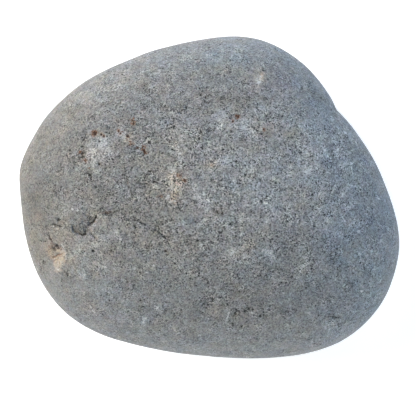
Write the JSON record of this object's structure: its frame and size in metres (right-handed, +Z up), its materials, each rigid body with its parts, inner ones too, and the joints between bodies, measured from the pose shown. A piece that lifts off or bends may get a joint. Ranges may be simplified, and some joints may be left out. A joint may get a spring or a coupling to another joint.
{
  "type": "river pebble",
  "caption": "Flattened, water-worn grey sandstone pebble with a nicked oval outline, a chipped hollow beside a fine crack, rust specks and a worn flat spot to rest on.",
  "frame": {"origin": "on the ground, under the middle of the stone's bounding box, with the stone lying on its worn flat spot", "axes": "+X along the longest side, +Y across it in the outline's plane, +Z up out of the face that the picture shows"},
  "size_m": [0.0758, 0.0644, 0.0341],
  "materials": {
    "stone": "matt, water-worn, fine salt-and-pepper sand grain with rust and cream spots"
  },
  "bodies": {
    "root": {"pebble": "stone"}
  },
  "joints": []
}
